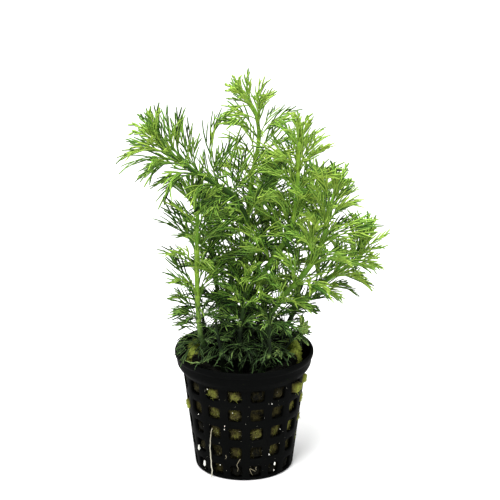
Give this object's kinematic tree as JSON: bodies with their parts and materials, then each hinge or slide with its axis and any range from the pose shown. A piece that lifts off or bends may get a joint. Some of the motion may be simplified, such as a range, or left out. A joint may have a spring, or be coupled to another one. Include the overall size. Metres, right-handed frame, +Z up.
{
  "type": "potted aquarium stem plant",
  "caption": "Bunch of feathery-leaved aquarium stem plant rooted in mineral wool inside a small tapered black net pot with a lattice wall, standing on its flat base.",
  "frame": {"origin": "centre of the pot's underside, on the surface that it stands on", "axes": "+Z up along the pot's axis; -Y towards the side that the picture shows; +X to the right in it"},
  "size_m": [0.1106, 0.0742, 0.1636],
  "materials": {
    "black_plastic": "satin",
    "mineral_wool": "matte",
    "root": "satin",
    "foliage": "satin"
  },
  "bodies": {
    "root": {"net_pot": "black_plastic", "mineral_wool": "mineral_wool", "root_long": "root", "shoot_tall": "foliage", "shoot_plume": "foliage", "shoot_left": "foliage", "shoot_centre": "foliage", "shoot_right": "foliage", "shoot_far_right": "foliage", "shoot_back_left": "foliage", "shoot_back_right": "foliage", "shoot_back": "foliage", "shoot_short_centre": "foliage", "shoot_low_front_left": "foliage", "shoot_low_front_right": "foliage", "shoot_low_right": "foliage", "shoot_low_left": "foliage"}
  },
  "joints": []
}
